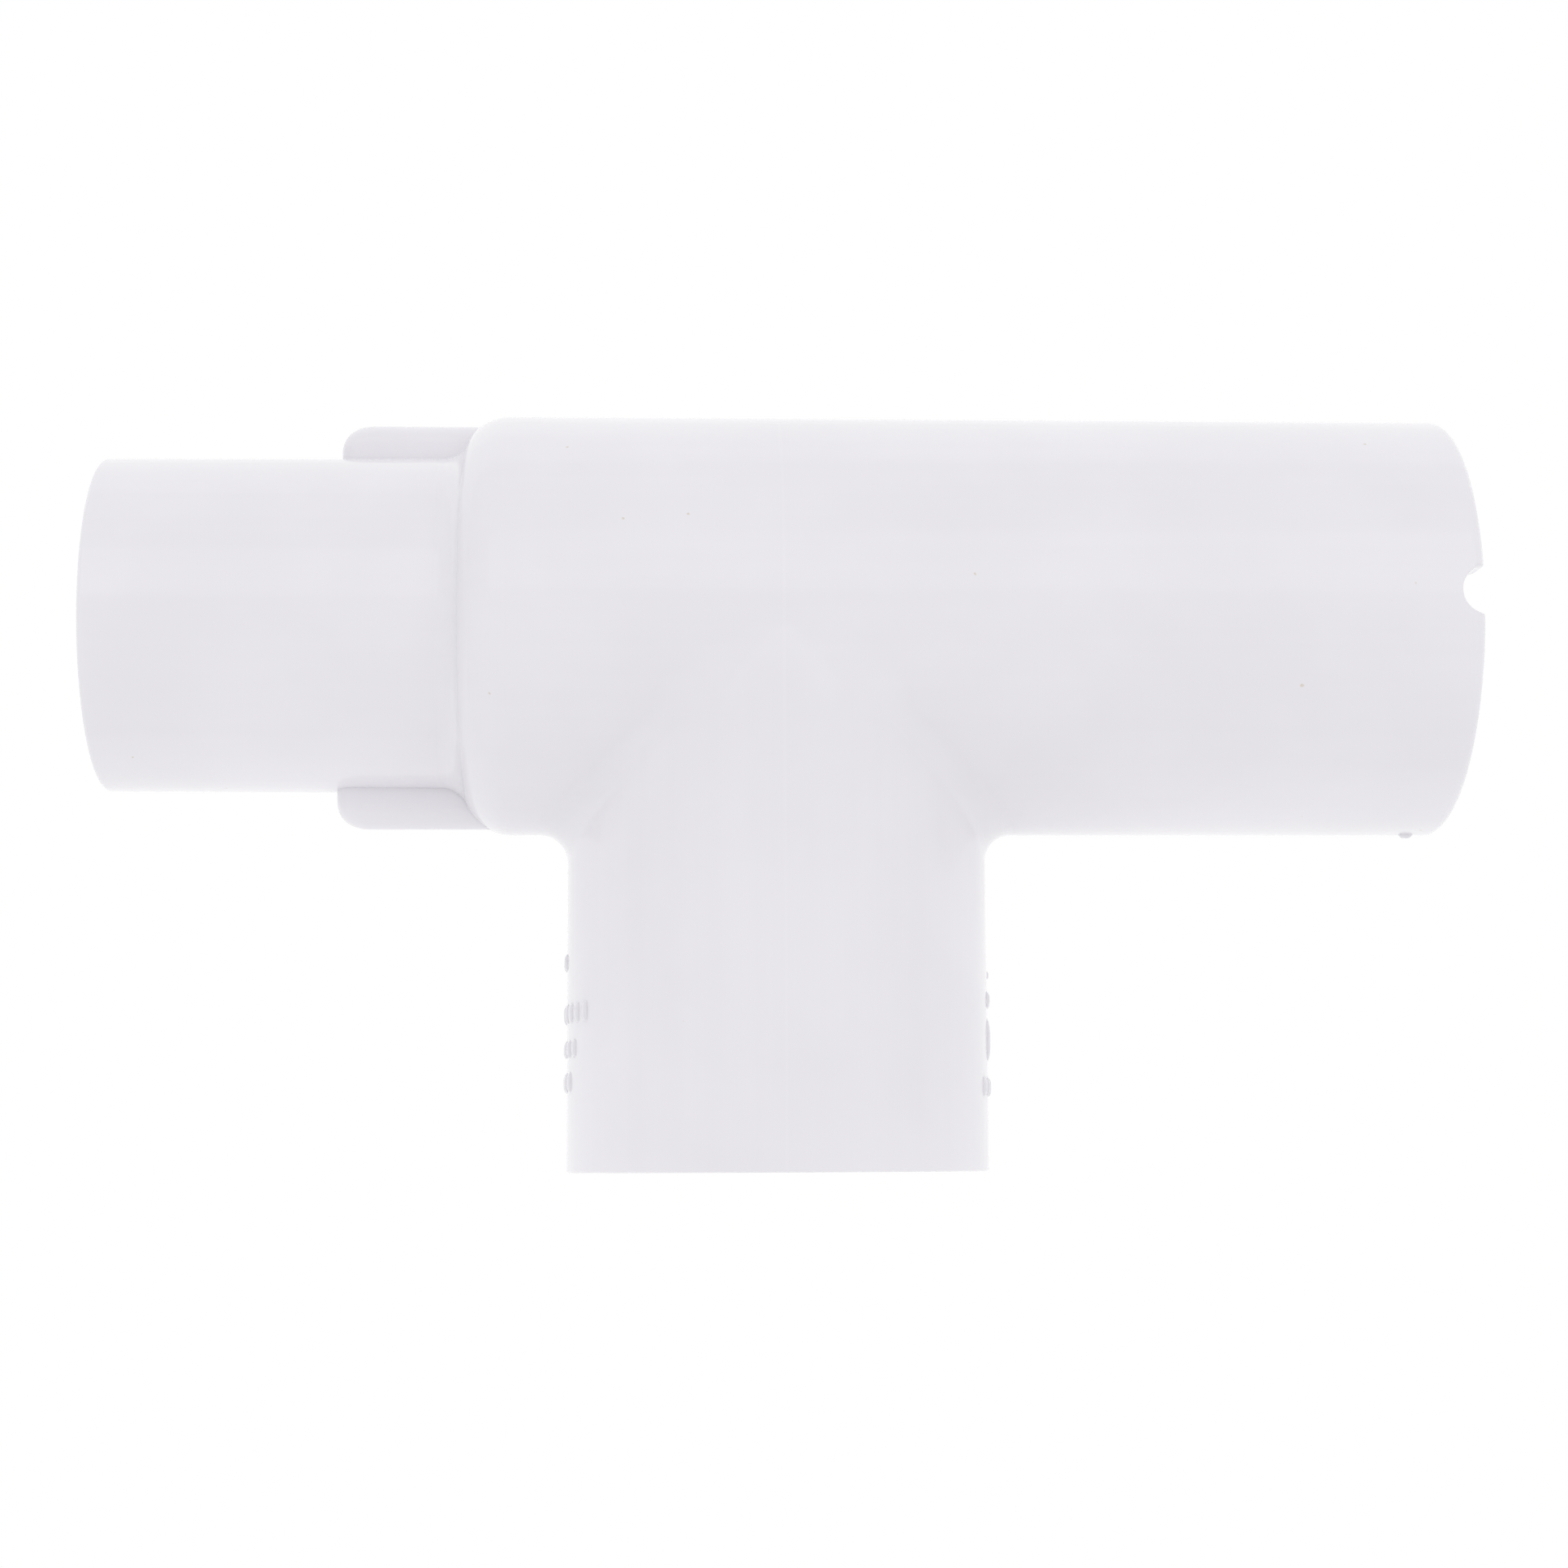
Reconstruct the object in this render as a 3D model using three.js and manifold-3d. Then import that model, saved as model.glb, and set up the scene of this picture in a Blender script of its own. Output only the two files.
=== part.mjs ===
// A white PVC pipe tee: a cylindrical run with a socket at one end, a branch socket at right
// angles to it, and a ribbed spigot seated in the other end of the run.
//
// Millimetres, +Z up. The origin is the centre of the branch rim, so the tee stands on its branch.
// +X runs along the run towards its socket, and the notch in the socket rim faces -Y.

import * as THREE from "three";
import { mergeVertices } from "three/addons/utils/BufferGeometryUtils.js";
import Module from "manifold-3d";

const wasm = await Module();
wasm.setup();

// Outside of the body.
const RUN_RADIUS = 21.1;
const RUN_HALF_LENGTH = 67.1;
const BRANCH_RADIUS = 20.9;
const BRANCH_LENGTH = 54.8; // from the run's axis to the branch rim
const CROTCH_FILLET = 3.0;
const RUN_EDGE_ROUND = 1.0;
const BRANCH_EDGE_ROUND = 0.8;

// The shoulder where the run comes down to the spigot, a quarter of an ellipse.
const SHOULDER_FACE = -31.3; // its flat end, along X
const SHOULDER_LENGTH = 4.7;

// The 1 inch pipe sockets, slightly tapered, and the waterway behind them.
const SOCKET_MOUTH_RADIUS = 16.83;
const SOCKET_STOP_RADIUS = 16.64;
const SOCKET_DEPTH = 28.6;
const MOUTH_CHAMFER = 0.7;
const WATERWAY_RADIUS = 13.3;

// The notch through the near wall of the run socket's rim.
const NOTCH_RADIUS = 2.3;

// The spigot, which is the size of 1 inch pipe.
const SPIGOT_TIP_RADIUS = 16.7;
const SPIGOT_ROOT_RADIUS = 16.85;
const SPIGOT_TIP_ROUND = 0.5;
const SPIGOT_LENGTH = RUN_HALF_LENGTH + SHOULDER_FACE; // the part that shows
const SPIGOT_TAIL = 14.5; // the part inside the body
const SPIGOT_BORE_LEAD = 0.6; // bevel inside the tip
const FLARE_LENGTH = 2.4;
const FLARE_RISE = 0.3;
const JOINT_GAP = 0.3; // assumed clearance between spigot and body

// The two ribs along the spigot, in the plane of the branch.
const RIB_OUTER_RADIUS = 20.65;
const RIB_REACH = 12.6; // from the shoulder face to the rib's nose
const RIB_THICKNESS = 4.0;
const RIB_NOSE_ROUND = 3.3;
const RIB_EDGE_BEVEL = 0.6;
const RIB_SINK = 1.2; // how far a rib's foot goes into the spigot wall

// Facets.
const AROUND = 72;
const ARC_STEPS = 6;
const SMALL_ARC_STEPS = 3;
const NOTCH_SIDES = 24;
const OVERCUT = 1; // how far a cutting solid runs past the face it cuts
const FILLET_SINK = 1; // how deep the fillet's ring is rooted in the walls
const SAME_POINT = 1e-4; // vertices closer than this are one

// A closed BufferGeometry as a solid. Triangles that close up at an axis are dropped.
function solidOf(geometry) {
  const bare = new THREE.BufferGeometry();
  bare.setAttribute("position", geometry.getAttribute("position").clone());
  bare.setIndex(geometry.index);
  const merged = mergeVertices(bare, SAME_POINT);
  const corners = merged.index.array;
  const kept = [];
  for (let i = 0; i < corners.length; i += 3) {
    const [a, b, c] = corners.slice(i, i + 3);
    if (a !== b && b !== c && c !== a) kept.push(a, b, c);
  }
  return new wasm.Manifold(
    new wasm.Mesh({
      numProp: 3,
      vertProperties: new Float32Array(merged.attributes.position.array),
      triVerts: new Uint32Array(kept),
    }),
  );
}

function geometryOf(solid) {
  const mesh = solid.getMesh();
  const geometry = new THREE.BufferGeometry();
  geometry.setAttribute("position", new THREE.BufferAttribute(mesh.vertProperties, 3));
  geometry.setIndex(new THREE.BufferAttribute(mesh.triVerts, 1));
  geometry.computeVertexNormals();
  return geometry;
}

// Points on a quarter of an ellipse about (centreX, centreY), both ends included.
function quarter(centreX, centreY, radiusX, radiusY, startDegrees, steps) {
  const points = [];
  for (let i = 0; i <= steps; i++) {
    const angle = THREE.MathUtils.degToRad(startDegrees + (90 * i) / steps);
    points.push(
      new THREE.Vector2(
        centreX + radiusX * Math.cos(angle),
        centreY + radiusY * Math.sin(angle),
      ),
    );
  }
  return points;
}

// A body of revolution about +Y from an outline of (radius, height) points, going up.
function turned(outline) {
  return new THREE.LatheGeometry(outline, AROUND);
}

const alongX = (geometry) => geometry.rotateZ(-Math.PI / 2);
const downwards = (geometry) => geometry.rotateX(-Math.PI / 2);
const point = (radius, height) => new THREE.Vector2(radius, height);

// The run's outside about +Y, from the shoulder face at the bottom to the socket rim at the top.
// grow enlarges the shoulder all over, which makes room for the joint.
function runOutline(grow = 0) {
  const roundRadius = SPIGOT_ROOT_RADIUS;
  const rise = RUN_RADIUS - roundRadius;
  const shoulder = quarter(
    roundRadius,
    SHOULDER_FACE + SHOULDER_LENGTH,
    rise + grow,
    SHOULDER_LENGTH + grow,
    -90,
    ARC_STEPS,
  );
  const rim = quarter(
    RUN_RADIUS - RUN_EDGE_ROUND + grow,
    RUN_HALF_LENGTH - RUN_EDGE_ROUND,
    RUN_EDGE_ROUND,
    RUN_EDGE_ROUND,
    0,
    SMALL_ARC_STEPS,
  );
  return [
    point(0, SHOULDER_FACE - grow),
    ...shoulder,
    ...rim,
    point(0, RUN_HALF_LENGTH),
  ];
}

// The branch's outside about +Y, from the run's axis at the bottom to the branch rim at the top.
function branchOutline() {
  const rim = quarter(
    BRANCH_RADIUS - BRANCH_EDGE_ROUND,
    BRANCH_LENGTH - BRANCH_EDGE_ROUND,
    BRANCH_EDGE_ROUND,
    BRANCH_EDGE_ROUND,
    0,
    SMALL_ARC_STEPS,
  );
  return [
    point(0, 0),
    point(BRANCH_RADIUS, 0),
    ...rim,
    point(0, BRANCH_LENGTH),
  ];
}

// The space inside one arm about +Y: waterway, then stop, then the tapered socket and its mouth.
function socketOutline(armLength) {
  const stop = armLength - SOCKET_DEPTH;
  return [
    point(0, 0),
    point(WATERWAY_RADIUS, 0),
    point(WATERWAY_RADIUS, stop),
    point(SOCKET_STOP_RADIUS, stop),
    point(SOCKET_MOUTH_RADIUS, armLength - MOUTH_CHAMFER),
    point(SOCKET_MOUTH_RADIUS + MOUTH_CHAMFER, armLength),
    point(SOCKET_MOUTH_RADIUS + MOUTH_CHAMFER, armLength + OVERCUT),
    point(0, armLength + OVERCUT),
  ];
}

// The space at the spigot's end of the run about +Y: the seat for the tail, then the waterway.
function seatOutline() {
  const seatRadius = SPIGOT_ROOT_RADIUS + JOINT_GAP;
  const seatStop = SHOULDER_FACE + SPIGOT_TAIL + JOINT_GAP;
  return [
    point(0, SHOULDER_FACE - OVERCUT),
    point(seatRadius, SHOULDER_FACE - OVERCUT),
    point(seatRadius, seatStop),
    point(WATERWAY_RADIUS, seatStop),
    point(WATERWAY_RADIUS, OVERCUT),
    point(0, OVERCUT),
  ];
}

// One section of the crotch fillet: where a ball of the fillet's radius touches both cylinders.
// turn is the angle round the branch. The section closes through points sunk in both walls.
function filletSection(turn) {
  const sideways = (BRANCH_RADIUS + CROTCH_FILLET) * Math.sin(turn);
  const ball = new THREE.Vector3(
    (BRANCH_RADIUS + CROTCH_FILLET) * Math.cos(turn),
    sideways,
    -Math.sqrt((RUN_RADIUS + CROTCH_FILLET) ** 2 - sideways ** 2),
  );
  const onRun = (radius) => {
    const shrink = radius / (RUN_RADIUS + CROTCH_FILLET);
    return new THREE.Vector3(ball.x, ball.y * shrink, ball.z * shrink);
  };
  const onBranch = (radius) =>
    new THREE.Vector3(radius * Math.cos(turn), radius * Math.sin(turn), ball.z);
  const from = onRun(RUN_RADIUS).sub(ball);
  const to = onBranch(BRANCH_RADIUS).sub(ball);
  const spread = from.angleTo(to);
  const section = [];
  for (let i = 0; i <= ARC_STEPS; i++) {
    const share = i / ARC_STEPS;
    const spoke = new THREE.Vector3()
      .addScaledVector(from, Math.sin((1 - share) * spread) / Math.sin(spread))
      .addScaledVector(to, Math.sin(share * spread) / Math.sin(spread));
    section.push(spoke.add(ball));
  }
  const inner = BRANCH_RADIUS - FILLET_SINK;
  const innerDepth = (RUN_RADIUS - FILLET_SINK) ** 2 - (inner * Math.sin(turn)) ** 2;
  section.push(onBranch(inner));
  section.push(
    new THREE.Vector3(
      inner * Math.cos(turn),
      inner * Math.sin(turn),
      -Math.sqrt(innerDepth),
    ),
  );
  section.push(onRun(RUN_RADIUS - FILLET_SINK));
  return section;
}

// The fillet as a closed ring of its sections, round the branch.
function crotchFillet() {
  const sections = [];
  for (let i = 0; i < AROUND; i++) {
    sections.push(filletSection((2 * Math.PI * i) / AROUND));
  }
  const size = sections[0].length;
  const geometry = new THREE.BufferGeometry().setFromPoints(sections.flat());
  const triangles = [];
  for (let i = 0; i < AROUND; i++) {
    const next = (i + 1) % AROUND;
    for (let j = 0; j < size; j++) {
      const up = (j + 1) % size;
      const [a, b] = [i * size + j, next * size + j];
      const [c, d] = [next * size + up, i * size + up];
      triangles.push(a, d, c, a, c, b);
    }
  }
  geometry.setIndex(triangles);
  return geometry;
}

// A cylinder through the near wall of the rim, on the run's axis height.
function notchCutter() {
  const length = RUN_RADIUS;
  const cutter = new THREE.CylinderGeometry(NOTCH_RADIUS, NOTCH_RADIUS, length, NOTCH_SIDES);
  return cutter.translate(RUN_HALF_LENGTH, -length / 2 - WATERWAY_RADIUS / 2, 0);
}

function bodySolid() {
  const run = solidOf(alongX(turned(runOutline())));
  const branch = solidOf(downwards(turned(branchOutline())));
  const runSocket = solidOf(alongX(turned(socketOutline(RUN_HALF_LENGTH))));
  const branchSocket = solidOf(downwards(turned(socketOutline(BRANCH_LENGTH))));
  const seat = solidOf(alongX(turned(seatOutline())));
  return run
    .add(branch)
    .add(solidOf(crotchFillet()))
    .subtract(runSocket)
    .subtract(branchSocket)
    .subtract(seat)
    .subtract(solidOf(notchCutter()));
}

// The spigot's wall about +Y, with the shoulder face at height 0 and the tip at the top.
function spigotOutline() {
  const tip = quarter(
    SPIGOT_TIP_RADIUS - SPIGOT_TIP_ROUND,
    SPIGOT_LENGTH - SPIGOT_TIP_ROUND,
    SPIGOT_TIP_ROUND,
    SPIGOT_TIP_ROUND,
    0,
    SMALL_ARC_STEPS,
  );
  return [
    point(WATERWAY_RADIUS, -SPIGOT_TAIL),
    point(SPIGOT_ROOT_RADIUS, -SPIGOT_TAIL),
    point(SPIGOT_ROOT_RADIUS, JOINT_GAP),
    point(SPIGOT_ROOT_RADIUS + FLARE_RISE, JOINT_GAP),
    point(SPIGOT_ROOT_RADIUS + FLARE_RISE / 4, FLARE_LENGTH / 2),
    point(SPIGOT_ROOT_RADIUS, FLARE_LENGTH),
    ...tip,
    point(WATERWAY_RADIUS + SPIGOT_BORE_LEAD, SPIGOT_LENGTH),
    point(WATERWAY_RADIUS, SPIGOT_LENGTH - SPIGOT_BORE_LEAD),
    point(WATERWAY_RADIUS, -SPIGOT_TAIL),
  ];
}

// A rib's side view, standing on the spigot's axis: (height out from the axis, reach along it).
function ribOutline() {
  const foot = SPIGOT_TIP_RADIUS - RIB_SINK;
  const outline = new THREE.Shape();
  outline.moveTo(foot, -SHOULDER_LENGTH);
  outline.lineTo(RIB_OUTER_RADIUS - RIB_EDGE_BEVEL, -SHOULDER_LENGTH);
  outline.lineTo(RIB_OUTER_RADIUS - RIB_EDGE_BEVEL, RIB_REACH - RIB_NOSE_ROUND);
  outline.absarc(
    RIB_OUTER_RADIUS - RIB_NOSE_ROUND,
    RIB_REACH - RIB_NOSE_ROUND,
    RIB_NOSE_ROUND - RIB_EDGE_BEVEL,
    0,
    Math.PI / 2,
  );
  outline.lineTo(foot, RIB_REACH - RIB_EDGE_BEVEL);
  return outline;
}

// A rib about +Y that stands out along the given side of Z, 1 or -1.
function rib(side) {
  const plate = new THREE.ExtrudeGeometry(ribOutline(), {
    depth: RIB_THICKNESS - 2 * RIB_EDGE_BEVEL,
    curveSegments: ARC_STEPS,
    bevelSize: RIB_EDGE_BEVEL,
    bevelThickness: RIB_EDGE_BEVEL,
    bevelSegments: 2,
  });
  plate.translate(0, 0, -(RIB_THICKNESS - 2 * RIB_EDGE_BEVEL) / 2);
  return plate.rotateY((-side * Math.PI) / 2);
}

// The spigot about +Y, with its ribs cut to stop just short of the shoulder.
function spigotSolid() {
  const shoulderRoom = turned(runOutline(JOINT_GAP));
  shoulderRoom.rotateX(Math.PI).translate(0, SHOULDER_FACE, 0);
  const ribs = solidOf(rib(1)).add(solidOf(rib(-1))).subtract(solidOf(shoulderRoom));
  return solidOf(turned(spigotOutline())).add(ribs);
}

function whitePvc(name, color) {
  const material = new THREE.MeshStandardMaterial({ color, roughness: 0.22, metalness: 0 });
  material.name = name;
  return material;
}

function teeBody() {
  const mesh = new THREE.Mesh(geometryOf(bodySolid()), whitePvc("white_pvc", 0xe8e6ea));
  mesh.name = "tee_body";
  return mesh;
}

function ribbedSpigot() {
  const mesh = new THREE.Mesh(geometryOf(spigotSolid()), whitePvc("white_pvc_spigot", 0xeae7eb));
  mesh.name = "ribbed_spigot";
  mesh.position.x = SHOULDER_FACE;
  mesh.rotation.z = Math.PI / 2;
  return mesh;
}

// Both pieces are laid out about the point where the run's and the branch's axes meet.
const tee = new THREE.Group();
tee.position.z = BRANCH_LENGTH;
tee.add(teeBody(), ribbedSpigot());

const root = new THREE.Group();
root.add(tee);

export default root;
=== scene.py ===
import math

import bpy
import numpy as np
from mathutils import Matrix, Vector


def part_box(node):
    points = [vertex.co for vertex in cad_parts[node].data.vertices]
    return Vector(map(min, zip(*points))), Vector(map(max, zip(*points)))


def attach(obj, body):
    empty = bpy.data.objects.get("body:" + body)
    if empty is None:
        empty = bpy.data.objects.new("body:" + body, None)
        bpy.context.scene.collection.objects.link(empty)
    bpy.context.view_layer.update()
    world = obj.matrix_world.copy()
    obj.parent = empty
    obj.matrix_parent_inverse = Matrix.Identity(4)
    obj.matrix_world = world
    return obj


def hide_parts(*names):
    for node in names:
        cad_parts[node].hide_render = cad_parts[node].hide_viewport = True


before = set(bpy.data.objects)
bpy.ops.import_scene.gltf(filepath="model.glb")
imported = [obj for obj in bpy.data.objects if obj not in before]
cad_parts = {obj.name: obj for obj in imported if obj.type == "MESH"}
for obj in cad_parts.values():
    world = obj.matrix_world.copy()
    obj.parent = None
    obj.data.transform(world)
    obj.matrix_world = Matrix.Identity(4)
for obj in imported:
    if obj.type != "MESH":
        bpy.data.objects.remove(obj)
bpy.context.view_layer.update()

# The tee is drawn in millimetres about the point where the axes of its run and its branch meet: X runs
# along the run towards the notched socket, and the branch points down along -Z.
MM = 0.001
body_low, body_high = (np.array(corner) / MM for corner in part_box("tee_body"))
spigot_low, spigot_high = (np.array(corner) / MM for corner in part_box("ribbed_spigot"))

# Tee body
RUN_RADIUS = (body_high[1] - body_low[1]) / 2
AXIS_HEIGHT = body_high[2] - RUN_RADIUS
SOCKET_RIM = body_high[0]
BRANCH_RIM = body_low[2] - AXIS_HEIGHT
BRANCH_RADIUS = 20.9
CROTCH_FILLET = 3.0
CROTCH_SIDE_FILLET = 15.0
CROTCH_SOFT_FROM = 0.85
RUN_EDGE_ROUND = 1.0
BRANCH_EDGE_ROUND = 0.3
SHOULDER_FACE = -31.3
SHOULDER_LENGTH = 4.7
SHOULDER_FOOT_RADIUS = 16.85
SHOULDER_RISE = RUN_RADIUS - SHOULDER_FOOT_RADIUS
SEAT_RADIUS = 16.95
SEAT_END = -16.5
SOCKET_MOUTH_RADIUS = 16.83
SOCKET_STOP_RADIUS = 16.64
SOCKET_DEPTH = 28.6
MOUTH_CHAMFER = 0.7
WATERWAY_RADIUS = 13.3
BRANCH_WATERWAY_RADIUS = 13.2
WATERWAY_FILLET = 1.0
WATERWAY_REACH = 15.5

# Notch in the socket rim, on the -Y side
NOTCH_RADIUS = 2.3
NOTCH_MOUTH_ROUND = 0.3
NOTCH_EDGE_ROUND = 0.16
NOTCH_ZONE = 30
NOTCH_BAND = 7.1
NOTCH_BITE_STEPS = 12
NOTCH_ROLL_STEPS = 5
NOTCH_SPREAD = 1.3
NOTCH_FADE = 1.5
NOTCH_LEVEL = 3
BAND_CROWDING = 1.8

# Spigot and its two ribs
SPIGOT_TIP = spigot_low[0]
SPIGOT_TAIL_END = spigot_high[0]
SPIGOT_TIP_RADIUS = 16.7
SPIGOT_ROOT_RADIUS = 16.85
SPIGOT_TIP_ROUND = 0.5
SPIGOT_BORE_LEAD = 0.6
SPIGOT_TAIL_DROP = 0.35
FLARE_SLOPE = 65
FLARE_SINK = 0.02
FLARE_STEPS = 14
RIB_TOP = 20.65
RIB_REACH = 12.6
RIB_HALF_WIDTH = 2.0
RIB_NOSE_ROUND = 2.6
RIB_PLAN_ROUND = 1.5
RIB_SOLE = 15.6
RIB_SHOULDER_SINK = 0.02
RIB_NOSE_SHARE = 0.3
RIB_NOSE_STEPS = 24
RIB_BACK_STEPS = 11
RIB_CAP_STEPS = 24
RIB_SIDE_STEPS = 6

# Raised plain bars in rows on the two sides of the branch
MARK_RISE = 0.3
MARK_SINK = 0.3
MARK_PITCH = 5.2
MARK_BAR_ANGLE = 3.4
MARK_STEPS = 12

# Nib of flash that the mould left under the socket's end
FLASH_FROM_RIM = 3.2
FLASH_LENGTH = 1.6
FLASH_DROP = 0.4
FLASH_HALF_ANGLE = 1.5
FLASH_STEPS = 8

# How square the top of a mark or of the flash is
PILLOW_POWER = 4

# Studio: a white screen that fills everything further than so many degrees from straight in front, an even
# room in front of it, and one softbox above the camera
SCREEN_EDGE = 105
SCREEN_SOFTNESS = 3
SCREEN_LIGHT = 1.04
ROOM_LIGHT = 0.88
SOFTBOX_PLACE = (0, -0.9, 0.5)
SOFTBOX_WIDTH = 1.2
SOFTBOX_HEIGHT = 0.6
SOFTBOX_WATTS = 0.7

# Camera: what it looks at, how far off it is, and its swing to the right, its rise and its roll in degrees
CAMERA_AIM = (0.0008, 0, 0.0388)
CAMERA_DISTANCE = 0.292
CAMERA_SWING = -2.5
CAMERA_RISE = -7.7
CAMERA_ROLL = -0.27
CAMERA_LENS = 66.5

# How finely the surfaces are cut: degrees from the run's lowest line to the edges of the junction's patch,
# and steps along half of that patch
PATCH_ANGLE = 110
PATCH_STEPS = 30
FULL_TURN = 360

# Points closer than about one part in so many of a millimetre are welded. The offset keeps round numbers off
# the edges between the cells.
WELD_CELLS = 2000
WELD_OFFSET = 0.137

# Plastic
BODY_COLOUR = (0.86, 0.845, 0.885)
SPIGOT_COLOUR = (0.865, 0.85, 0.89)
PALE_CLOUD = 1.012
DEEP_CLOUD = 0.985
FLOW_LINE_SHADE = 0.93
FLOW_LINE_SHARE = 0.10
# Parting line: a faint raised line. Its paler colour is a painted highlight along the ridge.
PARTING_HALF_WIDTH = 0.00005
PARTING_FADE = 0.00022
PARTING_HIGHLIGHT_SHARE = 0.09
PARTING_HIGHLIGHT_COLOUR = (0.95, 0.94, 0.96, 1)
PARTING_RELIEF = 0.1
SPECKS_PER_METRE = 170.0
SPECK_RADIUS = 0.00018
SPECK_COLOUR = (0.74, 0.68, 0.62, 1)
SMOOTHEST = 0.05
ROUGHEST = 0.09


# ---------------------------------------------------------------- outlines

def line(start, end, steps=1):
    """Points along a straight stretch of outline, as (along, radius), with normals on its left."""
    start, end = np.array(start, float), np.array(end, float)
    share = np.linspace(0, 1, steps + 1)[:, None]
    step = (end - start) / np.hypot(*(end - start))
    return start + share * (end - start), np.tile([-step[1], step[0]], (steps + 1, 1))


def arc(centre, radii, first, last, steps=6):
    """Points along an elliptical stretch from one angle to another, with normals on its left."""
    angle = np.radians(np.linspace(first, last, steps + 1))
    turn = math.copysign(1, last - first)
    cosine, sine = np.cos(angle), np.sin(angle)
    points = np.stack([centre[0] + radii[0] * cosine, centre[1] + radii[1] * sine], 1)
    normals = np.stack([-turn * radii[1] * cosine, -turn * radii[0] * sine], 1)
    return points, unit(normals)


def unit(vectors):
    """The vectors at length one."""
    return vectors / np.linalg.norm(vectors, axis=-1, keepdims=True)


def smooth(share):
    """Nought to one with a level start and end."""
    share = np.clip(share, 0, 1)
    return share * share * (3 - 2 * share)


# ---------------------------------------------------------------- mesh building

def on_run(along, radius, angle):
    """A point by its place along the run, its radius and its angle in radians from the run's lowest line."""
    along, radius, angle = np.broadcast_arrays(along, radius, angle)
    return np.stack([along, radius * np.sin(angle), -radius * np.cos(angle)], -1)


def on_branch(along, radius, angle):
    """A point by its height on the branch, its radius and its angle in radians from +X."""
    along, radius, angle = np.broadcast_arrays(along, radius, angle)
    return np.stack([radius * np.cos(angle), radius * np.sin(angle), along], -1)


class Skin:
    """Grids of points and outward normals, gathered and welded into one mesh."""

    def __init__(self):
        self.points = []
        self.normals = []
        self.quads = []
        self.count = 0

    def grid(self, points, normals):
        """Adds a grid of points in rows, with its faces turned to the side that the normals point to."""
        rows, columns = points.shape[:2]
        number = self.count + np.arange(rows * columns).reshape(rows, columns)
        quads = np.stack([number[:-1, :-1], number[1:, :-1], number[1:, 1:], number[:-1, 1:]], -1)
        across = points[1:, 1:] - points[:-1, :-1]
        back = points[:-1, 1:] - points[1:, :-1]
        if np.sum(np.cross(across, back) * normals[:-1, :-1]) < 0:
            quads = quads[..., ::-1]
        self.points.append(points.reshape(-1, 3))
        self.normals.append(unit(normals).reshape(-1, 3))
        self.quads.append(quads.reshape(-1, 4))
        self.count += rows * columns

    def sheet(self, points, inside):
        """Adds a smooth grid whose normals come from its own shape and point away from a place inside."""
        normals = np.cross(np.gradient(points, axis=0), np.gradient(points, axis=1))
        if np.sum(normals * (points - inside)) < 0:
            normals = -normals
        closed_up = np.linalg.norm(normals, axis=-1) < 1e-9
        normals[closed_up] = normals.sum((0, 1))
        self.grid(points, normals)

    def turn(self, place, stretches, angles):
        """Turns stretches of outline about the run or the branch."""
        for outline, slopes in stretches:
            points = place(outline[:, :1], outline[:, 1:], angles[None, :])
            normals = place(slopes[:, :1], slopes[:, 1:], angles[None, :])
            self.grid(points, normals)

    def mesh(self, name):
        """Welds the points that meet, drops the quads that close up, and makes a Blender mesh in metres."""
        points, normals = np.concatenate(self.points), np.concatenate(self.normals)
        grid_key = np.round(points * WELD_CELLS + WELD_OFFSET).astype(np.int64)
        _, first, merged = np.unique(grid_key, axis=0, return_index=True, return_inverse=True)
        merged = merged.reshape(-1)
        faces, corner_normals = [], []
        for quad in np.concatenate(self.quads):
            kept = [corner for place, corner in enumerate(quad) if merged[corner] != merged[quad[place - 1]]]
            if len(kept) > 2 and len({merged[corner] for corner in kept}) == len(kept):
                faces.append([int(merged[corner]) for corner in kept])
                corner_normals.extend(normals[corner] for corner in kept)
        mesh = bpy.data.meshes.new(name)
        lifted = (points[first] + [0, 0, AXIS_HEIGHT]) * MM
        mesh.from_pydata(lifted.tolist(), [], faces)
        mesh.polygons.foreach_set("use_smooth", np.ones(len(faces), bool))
        mesh.normals_split_custom_set(np.array(corner_normals).tolist())
        return mesh


# ---------------------------------------------------------------- where the branch meets the run

def patch_border(reach):
    """The border of the run's patch about the branch, anticlockwise: places along the run and angles."""
    steps = np.linspace(-1, 1, 2 * PATCH_STEPS + 1)
    along = reach * steps * (0.5 + 0.5 * steps ** 2)
    around = np.arange(-PATCH_ANGLE, PATCH_ANGLE + 1.0)
    border_along = np.concatenate([np.full(around.size - 1, reach), along[::-1][:-1],
                                   np.full(around.size - 1, -reach), along])
    border_around = np.concatenate([around[:-1], np.full(along.size - 1, around[-1]),
                                    around[::-1][:-1], np.full(along.size, around[0])])
    return border_along, border_around, along


def branch_angles(reach):
    """The angle about the branch that each point of the patch's border looks towards."""
    border_along, border_around, _ = patch_border(reach)
    return np.arctan2(border_around / PATCH_ANGLE, border_along / reach)


def crotch_fillet(angle):
    """The crotch's fillet by the angle about the branch: it widens towards the run's two sides."""
    share = smooth((np.abs(np.sin(angle)) - CROTCH_SOFT_FROM) / (1 - CROTCH_SOFT_FROM))
    return CROTCH_FILLET + share * (CROTCH_SIDE_FILLET - CROTCH_FILLET)


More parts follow.
